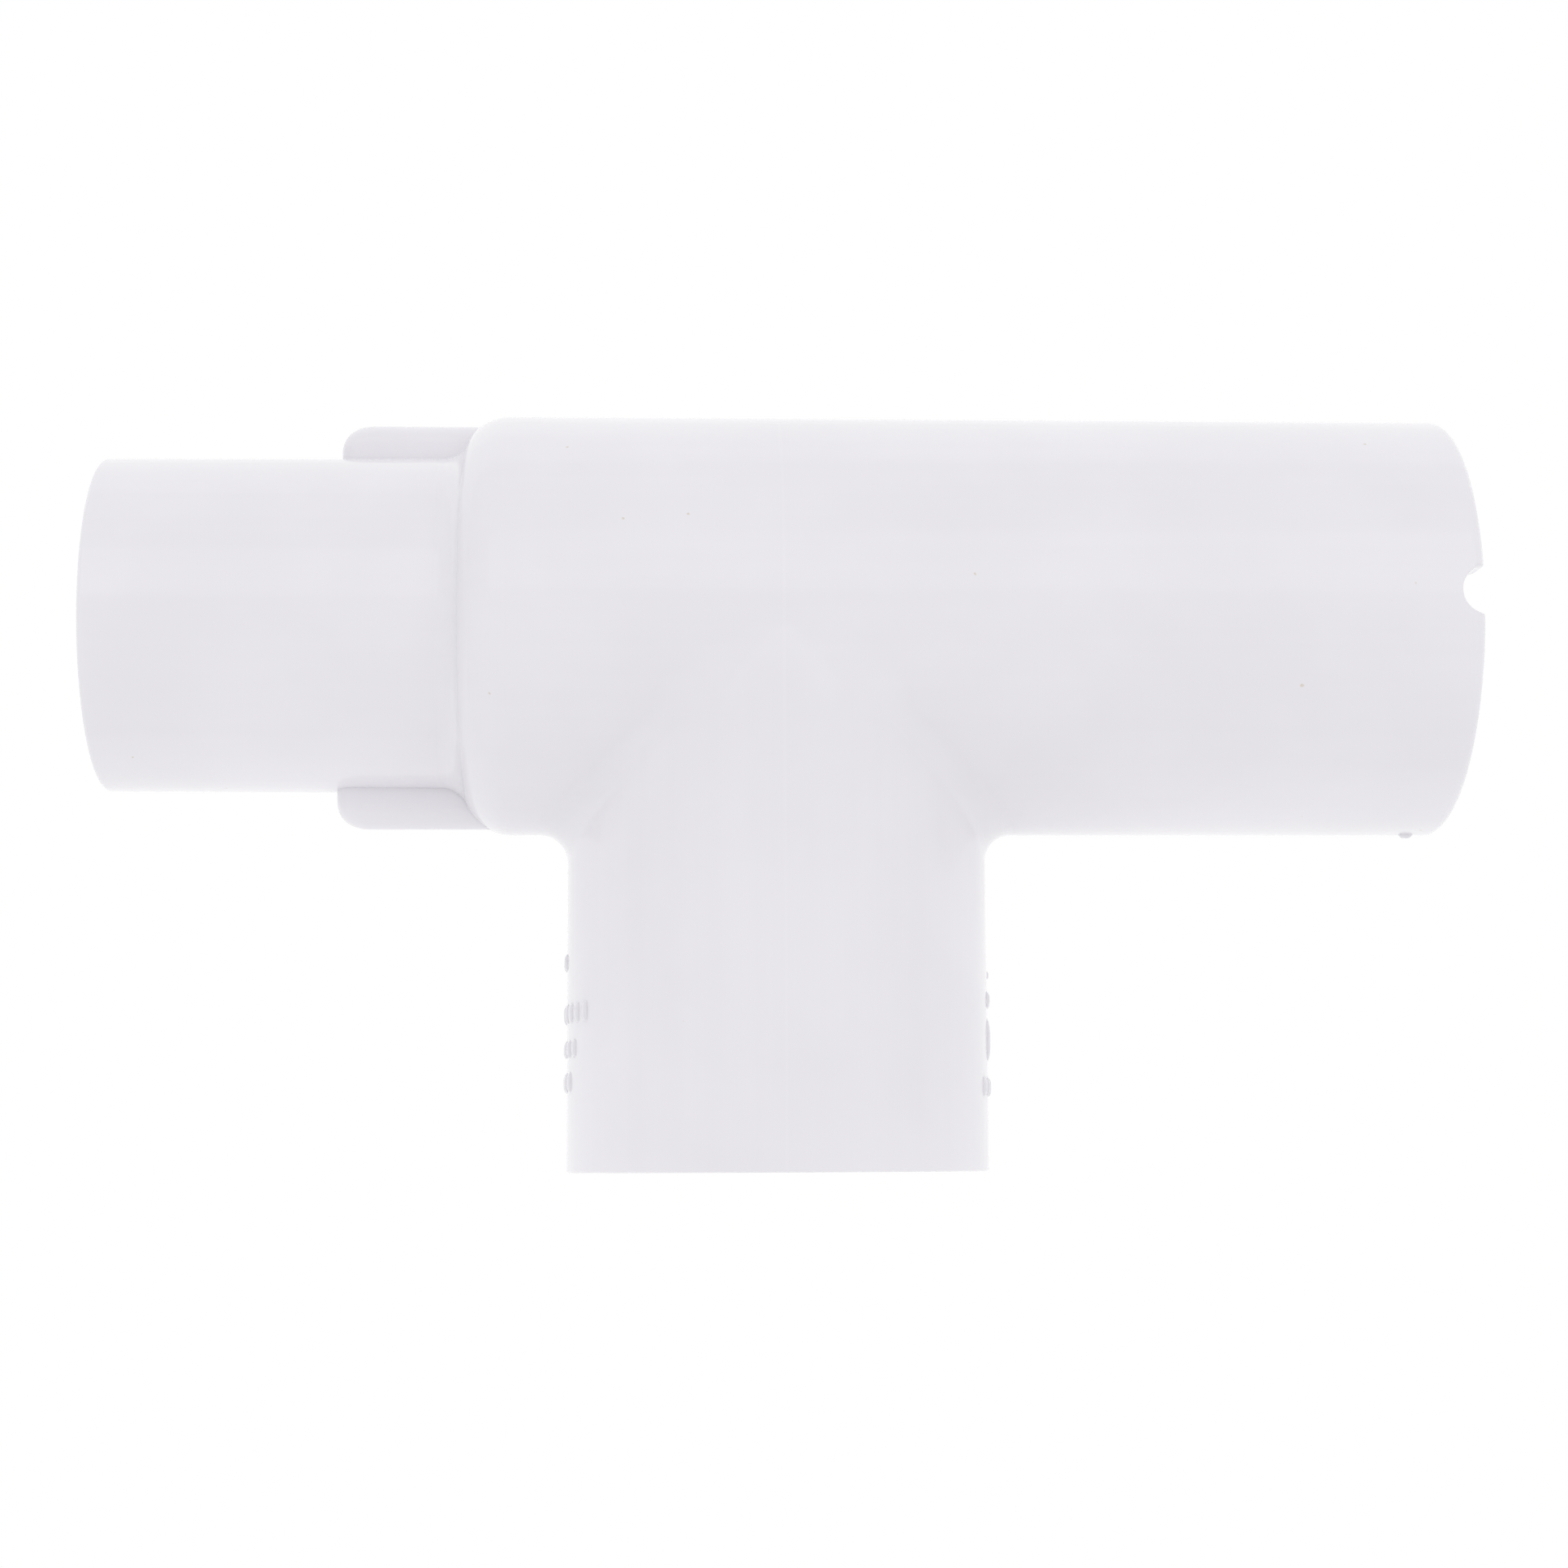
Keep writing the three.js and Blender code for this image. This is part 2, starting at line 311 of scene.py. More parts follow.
def junction(skin, run, branch, fillet_at, reach, steps, side):
    """The run about the branch, and the edge rolled by a ball that touches both. The ball's radius goes by
    the angle about the branch."""
    border_along, border_around, along = patch_border(reach)
    angle = branch_angles(reach)
    fillet = fillet_at(angle)
    ball_y = (branch + fillet) * np.sin(angle)
    ball_z = -np.sqrt((run + fillet) ** 2 - ball_y ** 2)
    ball = np.stack([(branch + fillet) * np.cos(angle), ball_y, ball_z], -1)
    shrink = run / (run + fillet)
    run_touch = ball * np.stack([np.ones_like(shrink), shrink, shrink], -1)
    branch_touch = on_branch(ball_z, branch, angle)

    share = np.linspace(0, 1, steps + 1)[:, None]
    touch_around = np.arctan2(run_touch[:, 1], -run_touch[:, 2])
    rows_along = border_along + share * (run_touch[:, 0] - border_along)
    rows_around = np.radians(border_around) + share * (touch_around - np.radians(border_around))
    skin.grid(on_run(rows_along, run, rows_around), side * on_run(0, 1, rows_around))

    from_ball = (run_touch - ball) / fillet[:, None]
    to_ball = (branch_touch - ball) / fillet[:, None]
    whole = np.arccos(np.clip(np.sum(from_ball * to_ball, -1), -1, 1))
    share = share[..., None]
    spoke = unit(np.sin((1 - share) * whole[:, None]) * from_ball + np.sin(share * whole[:, None]) * to_ball)
    skin.grid(ball + fillet[:, None] * spoke, -side * spoke)

    rest = np.radians(np.arange(PATCH_ANGLE, FULL_TURN - PATCH_ANGLE + 1.0))[None, :]
    skin.grid(on_run(along[:, None], run, rest), side * on_run(0, 1, rest + 0 * along[:, None]))
    return angle, ball_z


def waterway_fillet(angle):
    """The waterway's fillet, the same all round."""
    return np.full_like(angle, WATERWAY_FILLET)


def straight_wall(skin, radius, top, foot, angle, steps, side):
    """The branch's wall from the rolled edge down to a level circle."""
    share = np.linspace(0, 1, steps + 1)[:, None]
    heights = top + share * (foot - top)
    skin.grid(on_branch(heights, radius, angle), side * on_branch(0, 1, angle + 0 * heights))


# ---------------------------------------------------------------- the notched socket rim

def rim_trace():
    """Half of the rim's edge, from the notch's deepest point to the end of the zone that it changes: places
    across the notch and along the run, with the edge's outward direction."""
    corner = math.sqrt((NOTCH_RADIUS + NOTCH_MOUTH_ROUND) ** 2 - NOTCH_MOUTH_ROUND ** 2)
    stop = math.degrees(math.atan2(corner, NOTCH_MOUTH_ROUND))
    bite = np.radians(np.linspace(0, stop, NOTCH_BITE_STEPS + 1))
    across = [NOTCH_RADIUS * np.sin(bite)]
    along = [-NOTCH_RADIUS * np.cos(bite)]
    out = [np.stack([-np.sin(bite), np.cos(bite)], -1)]
    roll = np.radians(np.linspace(270 - stop, 90, NOTCH_ROLL_STEPS + 1))[1:]
    across.append(corner + NOTCH_MOUTH_ROUND * np.cos(roll))
    along.append(-NOTCH_MOUTH_ROUND + NOTCH_MOUTH_ROUND * np.sin(roll))
    out.append(np.stack([np.cos(roll), np.sin(roll)], -1))
    zone_end = RUN_RADIUS * math.sin(math.radians(NOTCH_ZONE))
    columns_left = NOTCH_ZONE - NOTCH_BITE_STEPS - NOTCH_ROLL_STEPS
    straight = np.linspace(0, 1, columns_left + 1)[1:] ** NOTCH_SPREAD
    across.append(corner + straight * (zone_end - corner))
    along.append(0 * straight)
    out.append(np.tile([0.0, 1.0], (straight.size, 1)))
    return np.concatenate(across), np.concatenate(along), np.concatenate(out)


def outer_rim(along):
    """The outside of the socket's end: its radius and its normal by the place along the run."""
    bend = np.clip((along - (SOCKET_RIM - RUN_EDGE_ROUND)) / RUN_EDGE_ROUND, 0, 1)
    radius = RUN_RADIUS - RUN_EDGE_ROUND * (1 - np.sqrt(1 - bend ** 2))
    return radius, bend, np.sqrt(1 - bend ** 2)


def inner_rim(along):
    """The inside of the socket's end, with its chamfered mouth: its radius."""
    mouth = SOCKET_RIM - MOUTH_CHAMFER
    taper = (SOCKET_MOUTH_RADIUS - SOCKET_STOP_RADIUS) / (SOCKET_DEPTH - MOUTH_CHAMFER)
    return SOCKET_MOUTH_RADIUS + np.where(along > mouth, along - mouth, taper * (along - mouth))


class NotchedRim:
    """The socket's end with one column for each degree round the run, drawn together at the notch."""

    def __init__(self):
        self.side = np.radians(np.arange(-180, 181.0))
        size = self.side.size
        self.across = RUN_RADIUS * np.sin(self.side)
        self.along = np.full(size, SOCKET_RIM)
        self.out = np.tile([0.0, 1.0], (size, 1))
        self.round = np.zeros(size)
        self.flat = np.zeros(size)
        across, along, out = rim_trace()
        middle = size // 2
        for sign in (-1, 1):
            columns = middle + sign * np.arange(across.size)
            self.across[columns] = sign * across
            self.along[columns] = SOCKET_RIM + along
            self.out[columns] = out * [sign, 1]
            fade = smooth((across - NOTCH_RADIUS - NOTCH_MOUTH_ROUND) / NOTCH_FADE)
            self.round[columns] = NOTCH_EDGE_ROUND * (1 - fade)
            self.flat[columns] = 1 - smooth((across - NOTCH_LEVEL) / (across[-1] - NOTCH_LEVEL))
        self.edge_side = self.side.copy()
        changed = slice(middle - NOTCH_ZONE, middle + NOTCH_ZONE + 1)
        self.edge_side[changed] = np.arcsin(self.across[changed] / RUN_RADIUS)

    def shifted(self, inset):
        """The edge moved back into the wall, in the plane that the notch is drawn in."""
        return self.across - inset * self.out[:, 0], self.along - inset * self.out[:, 1]

    def place(self, across, along, radius):
        """A point of the rim: level through the wall at the notch, and radial far from it."""
        straight = np.arcsin(np.clip(across / radius, -1, 1))
        moved = self.edge_side + (across - self.across) / RUN_RADIUS
        side = np.where(self.flat > 0, self.flat * straight + (1 - self.flat) * moved, self.side)
        return self.at(along, radius, side)

    def at(self, along, radius, side):
        """A point by its angle from the notch's middle, which is on the -Y side."""
        return on_run(along, radius, -math.pi / 2 - side)

    def band(self, skin, rows, outside):
        """The outside or the inside of the socket from the plain ring to the rim's edge."""
        across, along = self.shifted(self.round)
        if outside:
            radius = outer_rim(along)[0]
            bend = np.arcsin(np.clip((along - SOCKET_RIM) / RUN_EDGE_ROUND + 1, 0, 1))
            bent = RUN_EDGE_ROUND
        else:
            radius = inner_rim(along)
            bend = np.clip((along - SOCKET_RIM) / MOUTH_CHAMFER + 1, 0, 1)
            bent = MOUTH_CHAMFER
        edge = self.place(across, along, radius)
        edge_side = -math.pi / 2 - np.unwrap(np.arctan2(edge[:, 1], -edge[:, 2]))
        edge_side += np.round((self.side - edge_side) / (2 * math.pi)) * 2 * math.pi
        start = SOCKET_RIM - NOTCH_BAND
        plain = np.minimum(along, SOCKET_RIM - bent) - start
        length = plain + bent * bend
        share = 1 - (1 - np.linspace(0, 1, rows + 1)[:, None]) ** BAND_CROWDING
        walked = share * length
        beyond = np.clip(walked - (NOTCH_BAND - bent), 0, None)
        side = self.side + smooth(share) * (edge_side - self.side)
        if outside:
            places = start + np.minimum(walked, NOTCH_BAND - bent) + bent * np.sin(beyond / bent)
            radii, lean, rise = outer_rim(places)
            normals = self.at(lean, rise, side)
        else:
            places = start + walked
            radii = inner_rim(places)
            chamfered = walked > NOTCH_BAND - bent + 1e-6
            lean = np.where(chamfered, math.sqrt(0.5), 0)
            normals = self.at(lean, -np.sqrt(1 - lean ** 2), side)
        skin.grid(self.at(places, radii, side), normals)

    def edge(self, skin, outside):
        """The small round between the outside or the inside of the socket and the rim's own wall."""
        rows, slopes = [], []
        for bend in np.radians(np.linspace(0, 90, 4)):
            inset = self.round * (1 - math.sin(bend))
            drop = self.round * (1 - math.cos(bend))
            across, along = self.shifted(inset)
            if outside:
                radius, lean, rise = outer_rim(along)
                point = self.place(across, along, radius - drop)
            else:
                point = self.place(across, along, inner_rim(along) + drop)
                lean, rise = 0 * along, -np.ones_like(along)
            radial = unit(point * [0, 1, 1])
            skin_normal = radial * rise[:, None] + np.stack([lean, 0 * lean, 0 * lean], -1)
            rows.append(point)
            slopes.append(math.cos(bend) * skin_normal + math.sin(bend) * self.wall_normal())
        skin.grid(np.array(rows), np.array(slopes))

    def wall_normal(self):
        """The direction that the rim's own wall faces, column by column."""
        return np.stack([self.out[:, 1], 0 * self.round, self.out[:, 0]], -1)

    def wall(self, skin, rows):
        """The rim's flat end, and the notch's wall through the socket."""
        outer = outer_rim(self.along)[0] - self.round
        inner = inner_rim(self.along) + self.round
        points = [self.place(self.across, self.along, outer + share * (inner - outer))
                  for share in np.linspace(0, 1, rows + 1)]
        skin.grid(np.array(points), np.tile(self.wall_normal(), (rows + 1, 1, 1)))


# ---------------------------------------------------------------- tee body

def shoulder_at(radius):
    """Where the shoulder is along the run at a radius."""
    share = np.clip((radius - SHOULDER_FOOT_RADIUS) / SHOULDER_RISE, 0, 1)
    return SHOULDER_FACE + SHOULDER_LENGTH * (1 - np.sqrt(1 - share ** 2))


def body_outside(skin, around):
    """The run from the shoulder to the notched rim, and the branch, on the outside."""
    shoulder_end = SHOULDER_FACE + SHOULDER_LENGTH
    seat_bend = math.degrees(math.asin((SEAT_RADIUS - SHOULDER_FOOT_RADIUS) / SHOULDER_RISE))
    centre = (shoulder_end, SHOULDER_FOOT_RADIUS)
    shoulder = arc(centre, (SHOULDER_LENGTH, SHOULDER_RISE), 180 - seat_bend, 90, 14)
    reach = -shoulder_end
    plain = line((reach, RUN_RADIUS), (SOCKET_RIM - NOTCH_BAND, RUN_RADIUS), 6)
    skin.turn(on_run, [shoulder, plain], around)
    angle, top = junction(skin, RUN_RADIUS, BRANCH_RADIUS, crotch_fillet, reach, 10, 1)
    foot = BRANCH_RIM + BRANCH_EDGE_ROUND
    straight_wall(skin, BRANCH_RADIUS, top, foot, angle, 4, 1)
    corner = BRANCH_RADIUS - BRANCH_EDGE_ROUND
    rounded = arc((foot, corner), (BRANCH_EDGE_ROUND, BRANCH_EDGE_ROUND), 180, 90)
    mouth = SOCKET_MOUTH_RADIUS + MOUTH_CHAMFER
    flat = line((BRANCH_RIM, mouth), (BRANCH_RIM, corner), 2)
    skin.turn(on_branch, [rounded, flat], angle)
    return angle


def body_inside(skin, around, angle):
    """The seat, the two sockets and the waterways."""
    seat_foot = float(shoulder_at(SEAT_RADIUS))
    stop = SOCKET_RIM - SOCKET_DEPTH
    start = SOCKET_RIM - NOTCH_BAND
    skin.turn(on_run, [
        line((start, inner_rim(start)), (stop, SOCKET_STOP_RADIUS), 4),
        line((stop, SOCKET_STOP_RADIUS), (stop, WATERWAY_RADIUS), 2),
        line((stop, WATERWAY_RADIUS), (WATERWAY_REACH, WATERWAY_RADIUS), 4),
        line((-WATERWAY_REACH, WATERWAY_RADIUS), (SEAT_END, WATERWAY_RADIUS)),
        line((SEAT_END, WATERWAY_RADIUS), (SEAT_END, SEAT_RADIUS), 2),
        line((SEAT_END, SEAT_RADIUS), (seat_foot, SEAT_RADIUS), 4),
    ], around)
    _, top = junction(skin, WATERWAY_RADIUS, BRANCH_WATERWAY_RADIUS, waterway_fillet, WATERWAY_REACH, 10, -1)
    stop = BRANCH_RIM + SOCKET_DEPTH
    mouth = BRANCH_RIM + MOUTH_CHAMFER
    straight_wall(skin, BRANCH_WATERWAY_RADIUS, top, stop, angle, 3, -1)
    skin.turn(on_branch, [
        line((stop, BRANCH_WATERWAY_RADIUS), (stop, SOCKET_STOP_RADIUS), 2),
        line((stop, SOCKET_STOP_RADIUS), (mouth, SOCKET_MOUTH_RADIUS), 4),
        line((mouth, SOCKET_MOUTH_RADIUS), (BRANCH_RIM, SOCKET_MOUTH_RADIUS + MOUTH_CHAMFER)),
    ], angle)


def pillow(skin, middle, half_angle, low, high):
    """A plain raised bar with rounded edges on the branch, about an angle in degrees from +X."""
    shape = np.linspace(-1, 1, MARK_STEPS + 1)
    spread = np.sin(shape * math.pi / 2)
    bulge = 1 - spread ** PILLOW_POWER
    rise = -MARK_SINK + (MARK_RISE + MARK_SINK) * bulge[:, None] * bulge[None, :]
    angle = np.radians(middle + half_angle * spread)[None, :]
    height = ((low + high) / 2 + (high - low) / 2 * spread)[:, None]
    inside = on_branch(height.mean(), BRANCH_RADIUS - MARK_SINK, math.radians(middle))
    skin.sheet(on_branch(height, BRANCH_RADIUS + rise, angle), inside)
    sole = on_branch(height, BRANCH_RADIUS - MARK_SINK, angle)
    skin.grid(sole, -on_branch(0, 1, angle + 0 * height))


def mark_rows(skin):
    """Rows of plain bars on both sides of the branch: lowest and highest edge above the branch's rim, and
    how far round the row reaches on each side of the branch's middle, in degrees."""
    left = ((19.6, 21.7, 7), (14.3, 16.7, 27), (11.0, 13.1, 19), (7.6, 10.0, 14))
    right = ((18.9, 20.0, 2), (15.8, 17.8, 11), (10.3, 15.4, 11), (7.1, 9.4, 19))
    for middle, rows in ((180, left), (0, right)):
        for low, high, reach in rows:
            count = max(1, round(2 * reach / MARK_PITCH))
            for place in np.linspace(-1, 1, count) if count > 1 else (0,):
                offset = place * max(reach - MARK_BAR_ANGLE / 2, 0)
                pillow(skin, middle + offset, MARK_BAR_ANGLE / 2, BRANCH_RIM + low, BRANCH_RIM + high)


def flash(skin):
    """The nib of flash on the run's lowest line, near the notched rim."""
    shape = np.linspace(-1, 1, FLASH_STEPS + 1)
    bulge = 1 - shape ** PILLOW_POWER
    rise = -MARK_SINK + (FLASH_DROP + MARK_SINK) * bulge[:, None] * bulge[None, :]
    middle = SOCKET_RIM - FLASH_FROM_RIM
    along = middle + FLASH_LENGTH / 2 * shape[:, None]
    angle = np.radians(FLASH_HALF_ANGLE * shape)[None, :]
    skin.sheet(on_run(along, RUN_RADIUS + rise, angle), on_run(middle, RUN_RADIUS - MARK_SINK, 0))
    skin.grid(on_run(along, RUN_RADIUS - MARK_SINK, angle), -on_run(0, 1, angle + 0 * along))


def tee_body():
    """The body's mesh."""
    skin = Skin()
    around = np.radians(np.arange(-PATCH_ANGLE, FULL_TURN - PATCH_ANGLE + 1.0))
    angle = body_outside(skin, around)
    body_inside(skin, around, angle)
    rim = NotchedRim()
    rim.band(skin, 14, True)
    rim.edge(skin, True)
    rim.wall(skin, 5)
    rim.edge(skin, False)
    rim.band(skin, 8, False)
    mark_rows(skin)
    flash(skin)
    return skin.mesh("moulded_tee_body")


# ---------------------------------------------------------------- ribbed spigot

def flare():
    """The hollow round in which the spigot rises into the shoulder, and where it ends. It leaves the spigot
    level and reaches the shoulder at the shoulder's own slope, a hair inside its surface."""
    slope = math.radians(FLARE_SLOPE)
    bend = math.atan2(SHOULDER_RISE, SHOULDER_LENGTH * math.tan(slope))
    top = SHOULDER_FOOT_RADIUS + SHOULDER_RISE * math.sin(bend)
    end = SHOULDER_FACE + SHOULDER_LENGTH * (1 - math.cos(bend)) + FLARE_SINK
    radius = (top - SPIGOT_ROOT_RADIUS) / (1 - math.cos(slope))
    start = end - radius * math.sin(slope)
    centre = (start, SPIGOT_ROOT_RADIUS + radius)
    return arc(centre, (radius, radius), 270, 270 + FLARE_SLOPE, FLARE_STEPS), start, (end, top)


def spigot_outline():
    """The closed outline that is turned into the spigot, from its tip round by the tail and the bore."""
    tip_top = SPIGOT_TIP_RADIUS - SPIGOT_TIP_ROUND
    tail = SPIGOT_ROOT_RADIUS - SPIGOT_TAIL_DROP
    bore_mouth = WATERWAY_RADIUS + SPIGOT_BORE_LEAD
    round_end = SPIGOT_TIP + SPIGOT_TIP_ROUND
    hollow, hollow_start, hollow_end = flare()
    return [
        arc((round_end, tip_top), (SPIGOT_TIP_ROUND, SPIGOT_TIP_ROUND), 180, 90),
        line((round_end, SPIGOT_TIP_RADIUS), (hollow_start, SPIGOT_ROOT_RADIUS), 10),
        hollow,
        line(hollow_end, (hollow_end[0], tail), 2),
        line((hollow_end[0], tail), (SPIGOT_TAIL_END, tail), 4),
        line((SPIGOT_TAIL_END, tail), (SPIGOT_TAIL_END, WATERWAY_RADIUS), 2),
        line((SPIGOT_TAIL_END, WATERWAY_RADIUS), (SPIGOT_TIP + SPIGOT_BORE_LEAD, WATERWAY_RADIUS), 10),
        line((SPIGOT_TIP + SPIGOT_BORE_LEAD, WATERWAY_RADIUS), (SPIGOT_TIP, bore_mouth)),
        line((SPIGOT_TIP, bore_mouth), (SPIGOT_TIP, tip_top), 2),
    ]


def cut_back(radius, back):
    """How much a rounded corner takes off at a distance back from the nose."""
    return radius - math.sqrt(max(0, radius ** 2 - max(0, radius - back) ** 2))


def rib(skin, side):
    """A rib along the top (side 1) or the bottom (side -1): round on top, at its nose and in plan."""
    nose = SHOULDER_FACE - RIB_REACH
    nose_share = RIB_NOSE_SHARE * (1 - np.cos(np.radians(np.linspace(0, 90, RIB_NOSE_STEPS + 1))))
    back_share = np.linspace(RIB_NOSE_SHARE, 1, RIB_BACK_STEPS + 1)[1:]
    bend = np.radians(np.linspace(0, 180, RIB_CAP_STEPS + 1))
    upright = np.linspace(0, 1, RIB_SIDE_STEPS + 1)[:-1]
    rows = []
    for step in np.concatenate([nose_share, back_share]):
        back = step * RIB_REACH
        half = RIB_HALF_WIDTH - cut_back(RIB_PLAN_ROUND, back)
        top = RIB_TOP - cut_back(RIB_NOSE_ROUND, back)
        cap = min(half, top - RIB_SOLE)
        spring = top - cap
        side_y = np.full(RIB_SIDE_STEPS, half)
        y = np.concatenate([-side_y, -half * np.cos(bend), side_y])
        climb = RIB_SOLE + upright * (spring - RIB_SOLE)
        z = np.concatenate([climb, spring + cap * np.sin(bend), climb[::-1]])
        end = shoulder_at(np.hypot(y, z)) + RIB_SHOULDER_SINK
        x = nose + step * (end - nose)
        rows.append(np.stack([x, side * y, side * z], -1))
    shell = np.array(rows)
    inside = np.array([nose + RIB_REACH / 2, 0, side * (RIB_SOLE + RIB_TOP) / 2])
    skin.sheet(shell, inside)
    skin.sheet(np.stack([shell[:, 0], shell[:, -1]], 1), inside)
    half_count = shell.shape[1] // 2 + 1
    for end_row in (shell[0], shell[-1]):
        ladder = np.stack([end_row[:half_count], end_row[::-1][:half_count]], 1)
        skin.sheet(ladder, inside)


def ribbed_spigot():
    """The spigot's mesh."""
    skin = Skin()
    around = np.radians(np.arange(FULL_TURN + 1.0))
    skin.turn(on_run, spigot_outline(), around)
    rib(skin, 1)
    rib(skin, -1)
    return skin.mesh("moulded_spigot")


# ---------------------------------------------------------------- materials

def add(tree, kind, **inputs):
    """Adds a node. A name that the node has as a property is set there, and any other is an input, whose
    value is a number, a colour or another node's output."""
    made = tree.nodes.new(kind)
    for name, value in inputs.items():
        if hasattr(made, name):
            setattr(made, name, value)
    for name, value in inputs.items():
        if hasattr(made, name):
            continue
        socket = made.inputs[int(name[2:])] if name.startswith("at") else made.inputs[name.replace("_", " ")]
        if isinstance(value, bpy.types.NodeSocket):
            tree.links.new(value, socket)
        else:
            socket.default_value = value
    return made


def maths(tree, operation, first, second=0.0):
    """The result of a sum on two numbers."""
    return add(tree, "ShaderNodeMath", operation=operation, at0=first, at1=second).outputs[0]


def ramp(tree, value, low, high, start=0.0, end=1.0):
    """A smooth change from start to end as a value goes from low to high."""
    made = add(tree, "ShaderNodeMapRange", interpolation_type="SMOOTHSTEP", Value=value)
    for name, number in (("From Min", low), ("From Max", high), ("To Min", start), ("To Max", end)):
        made.inputs[name].default_value = number
    return made.outputs["Result"]


def noise(tree, where, stretch, detail=3.0, seed=0.0):
    """A noise whose grains are stretched by so many per metre along each axis."""
    moved = add(tree, "ShaderNodeMapping", Vector=where, Scale=stretch, Location=(seed, seed, seed))
    return add(tree, "ShaderNodeTexNoise", Vector=moved.outputs[0], Scale=1.0, Detail=detail,
               Roughness=0.55).outputs["Fac"]


def mix(tree, share, first, second):
    """One colour turning into another."""
    made = add(tree, "ShaderNodeMix", data_type="RGBA")
    for socket, value in ((made.inputs[0], share), (made.inputs[6], first), (made.inputs[7], second)):
        if isinstance(value, bpy.types.NodeSocket):
            tree.links.new(value, socket)
        else:
            socket.default_value = value
    return made.outputs[2]


def specks(tree, where, per_metre, radius, seed):
    """Sparse round specks of scorched plastic: one where there is a speck, nought elsewhere."""
    ragged = add(tree, "ShaderNodeTexNoise", Vector=where, Scale=4000.0, Detail=1.0)
    spread = add(tree, "ShaderNodeVectorMath", operation="MULTIPLY_ADD", at0=ragged.outputs["Color"],
                 at1=(0.0002, 0.0002, 0.0002), at2=where)
    moved = add(tree, "ShaderNodeMapping", Vector=spread.outputs[0], Location=(seed, seed, seed))
    cells = add(tree, "ShaderNodeTexVoronoi", Vector=moved.outputs[0], Scale=per_metre)
    edge = radius * per_metre
    return ramp(tree, cells.outputs["Distance"], edge, 0.6 * edge)


def pvc(name, colour, seed):
    """Glossy moulded PVC: faint clouding and flow lines along each arm, a parting line that is slightly
    raised and tinted paler as a painted highlight along it, a few specks, and a skin that is very slightly
    uneven and scuffed."""
    material = bpy.data.materials.new(name)
    material.use_nodes = True
    tree = material.node_tree
    shader = tree.nodes["Principled BSDF"]
    where = add(tree, "ShaderNodeTexCoord").outputs["Object"]
    x, y, z = add(tree, "ShaderNodeSeparateXYZ", Vector=where).outputs
    height = maths(tree, "SUBTRACT", z, AXIS_HEIGHT * MM)
    squares = maths(tree, "ADD", maths(tree, "POWER", y, 2), maths(tree, "POWER", height, 2))
    from_axis = maths(tree, "SQRT", squares)
    on_arm = ramp(tree, from_axis, (RUN_RADIUS + 0.1) * MM, (RUN_RADIUS + 2) * MM)

    run_lines = noise(tree, where, (14, 420, 420), 4.0, seed)
    arm_lines = noise(tree, where, (420, 420, 12), 4.0, seed + 3)
    lines = mix(tree, on_arm, run_lines, arm_lines)
    clouds = noise(tree, where, (60, 60, 60), 3.0, seed + 7)
    parting = ramp(tree, maths(tree, "ABSOLUTE", x), PARTING_HALF_WIDTH, PARTING_FADE, 1.0, 0.0)

    pale = [min(1, PALE_CLOUD * part) for part in colour] + [1]
    deep = [DEEP_CLOUD * part for part in colour] + [1]
    tint = mix(tree, ramp(tree, clouds, 0.3, 0.7), deep, pale)
    shade = [FLOW_LINE_SHADE * part for part in colour] + [1]
    tint = mix(tree, ramp(tree, lines, 0.35, 0.7, 0.0, FLOW_LINE_SHARE), tint, shade)
    # Painted highlight: the parting line is tinted paler than the body, on top of its real slight relief
    tint = mix(tree, maths(tree, "MULTIPLY", parting, PARTING_HIGHLIGHT_SHARE), tint, PARTING_HIGHLIGHT_COLOUR)
    spots = specks(tree, where, SPECKS_PER_METRE, SPECK_RADIUS, seed + 1)
    tint = mix(tree, spots, tint, SPECK_COLOUR)
    tree.links.new(tint, shader.inputs["Base Color"])

    scuffs = noise(tree, where, (900, 300, 900), 2.0, seed + 5)
    wear = ramp(tree, maths(tree, "ADD", scuffs, clouds), 0.7, 1.3, SMOOTHEST, ROUGHEST)
    tree.links.new(wear, shader.inputs["Roughness"])
    grain = noise(tree, where, (260, 260, 260), 2.0, seed + 9)
    relief = maths(tree, "ADD", maths(tree, "MULTIPLY", lines, 0.5), maths(tree, "MULTIPLY", grain, 0.6))
    relief = maths(tree, "ADD", relief, maths(tree, "MULTIPLY", parting, PARTING_RELIEF))
    bump = add(tree, "ShaderNodeBump", Height=relief, Strength=0.15, Distance=0.00002)
    tree.links.new(bump.outputs[0], shader.inputs["Normal"])
    shader.inputs["IOR"].default_value = 1.53
    shader.inputs["Subsurface Weight"].default_value = 0.08
    shader.inputs["Subsurface Radius"].default_value = (1.0, 0.9, 0.85)
    shader.inputs["Subsurface Scale"].default_value = 0.0012
    return material


def floor_material():
    """A pale matt floor that shows only from above."""
    material = bpy.data.materials.new("pale_floor")
    material.use_nodes = True
    tree = material.node_tree
    shader = tree.nodes["Principled BSDF"]
    shader.inputs["Base Color"].default_value = (0.86, 0.86, 0.87, 1)
    shader.inputs["Roughness"].default_value = 0.85
    below = add(tree, "ShaderNodeNewGeometry").outputs["Backfacing"]
    clear = add(tree, "ShaderNodeBsdfTransparent").outputs[0]
    sided = add(tree, "ShaderNodeMixShader", Fac=below, at1=shader.outputs[0], at2=clear)
    tree.links.new(sided.outputs[0], tree.nodes["Material Output"].inputs["Surface"])
    return material


# ---------------------------------------------------------------- scene

def piece(name, mesh, material, node):
    """Puts a moulded piece in the scene in the place of its CAD solid."""
    made = bpy.data.objects.new(name, mesh)
    bpy.context.scene.collection.objects.link(made)
    mesh.materials.append(material)
    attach(made, "root")
    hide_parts(node)
    return made


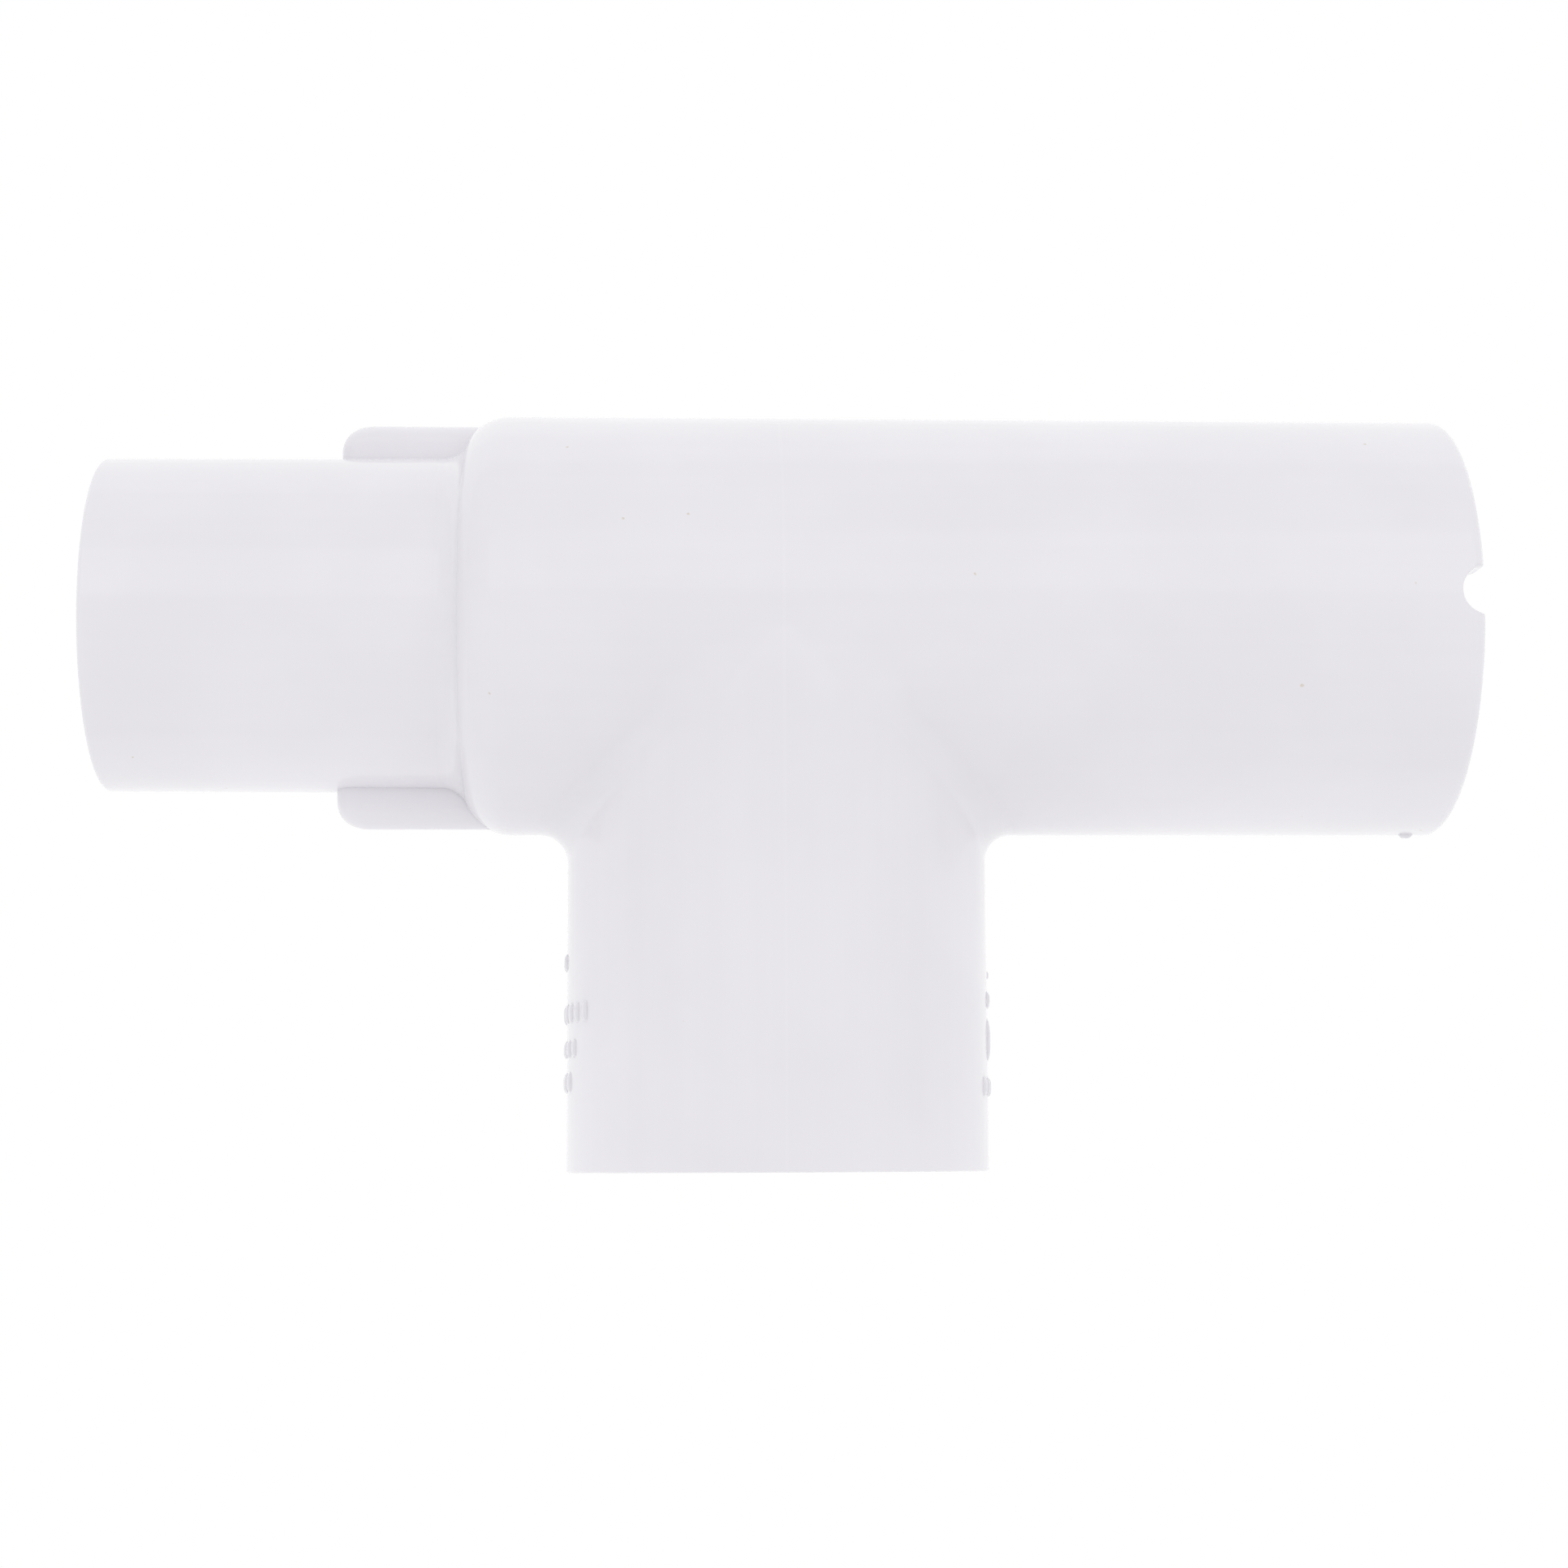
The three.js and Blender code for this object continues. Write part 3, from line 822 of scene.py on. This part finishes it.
def floor():
    """The floor that the tee stands on. It takes shadows and sends no light back."""
    half = 2.0
    corners = [(-half, -half, 0), (half, -half, 0), (half, half, 0), (-half, half, 0)]
    mesh = bpy.data.meshes.new("floor")
    mesh.from_pydata(corners, [], [(0, 1, 2, 3)])
    mesh.materials.append(floor_material())
    made = bpy.data.objects.new("floor", mesh)
    bpy.context.scene.collection.objects.link(made)
    made.visible_diffuse = False
    made.visible_glossy = False
    made.visible_transmission = False
    made.visible_shadow = False


def camera():
    """The camera, in front of the tee, level with the branch's rim and looking slightly up."""
    data = bpy.data.cameras.new("camera")
    data.sensor_width = 36
    data.lens = CAMERA_LENS
    data.clip_start = 0.01
    made = bpy.data.objects.new("camera", data)
    bpy.context.scene.collection.objects.link(made)
    swing, rise = math.radians(CAMERA_SWING), math.radians(CAMERA_RISE)
    back = Vector((math.sin(swing) * math.cos(rise), -math.cos(swing) * math.cos(rise), math.sin(rise)))
    right = (-back).cross(Vector((0, 0, 1))).normalized()
    up = back.cross(right)
    turned = Matrix((right, up, back)).transposed() @ Matrix.Rotation(math.radians(CAMERA_ROLL), 3, "Z")
    place = Vector(CAMERA_AIM) + CAMERA_DISTANCE * back
    made.matrix_world = Matrix.Translation(place) @ turned.to_4x4()
    bpy.context.scene.camera = made


def behind(tree, angle):
    """One where an angle in radians is further from straight in front than the screen's edge."""
    edge = math.radians(SCREEN_EDGE)
    soft = math.radians(SCREEN_SOFTNESS)
    return ramp(tree, maths(tree, "ABSOLUTE", angle), edge - soft, edge + soft)


def softbox():
    """One large soft lamp above the camera, turned to the tee."""
    data = bpy.data.lights.new("softbox", "AREA")
    data.shape = "RECTANGLE"
    data.size = SOFTBOX_WIDTH
    data.size_y = SOFTBOX_HEIGHT
    data.energy = SOFTBOX_WATTS
    made = bpy.data.objects.new("softbox", data)
    bpy.context.scene.collection.objects.link(made)
    made.location = SOFTBOX_PLACE
    made.rotation_euler = (Vector(CAMERA_AIM) - made.location).to_track_quat("-Z", "Y").to_euler()


def studio():
    """Plain white light from all round, brighter from the screen behind. The camera sees plain white."""
    world = bpy.data.worlds.new("studio")
    world.use_nodes = True
    bpy.context.scene.world = world
    tree = world.node_tree
    direction = add(tree, "ShaderNodeTexCoord").outputs["Generated"]
    x, y, z = add(tree, "ShaderNodeSeparateXYZ", Vector=direction).outputs
    front = maths(tree, "MULTIPLY", y, -1.0)
    beside = behind(tree, maths(tree, "ARCTAN2", x, front))
    above = behind(tree, maths(tree, "ARCTAN2", z, front))
    light = mix(tree, maths(tree, "MAXIMUM", beside, above), [ROOM_LIGHT] * 3 + [1], [SCREEN_LIGHT] * 3 + [1])
    seen = add(tree, "ShaderNodeLightPath").outputs["Is Camera Ray"]
    shown = mix(tree, seen, light, (1, 1, 1, 1))
    tree.links.new(shown, tree.nodes["Background"].inputs["Color"])
    softbox()


def main():
    scene = bpy.context.scene
    scene.view_settings.view_transform = "Standard"
    camera()
    studio()
    floor()
    body_white = pvc("white_body_pvc", BODY_COLOUR, 0.0)
    spigot_white = pvc("white_spigot_pvc", SPIGOT_COLOUR, 11.0)
    piece("moulded_tee_body", tee_body(), body_white, "tee_body")
    piece("moulded_spigot", ribbed_spigot(), spigot_white, "ribbed_spigot")


main()
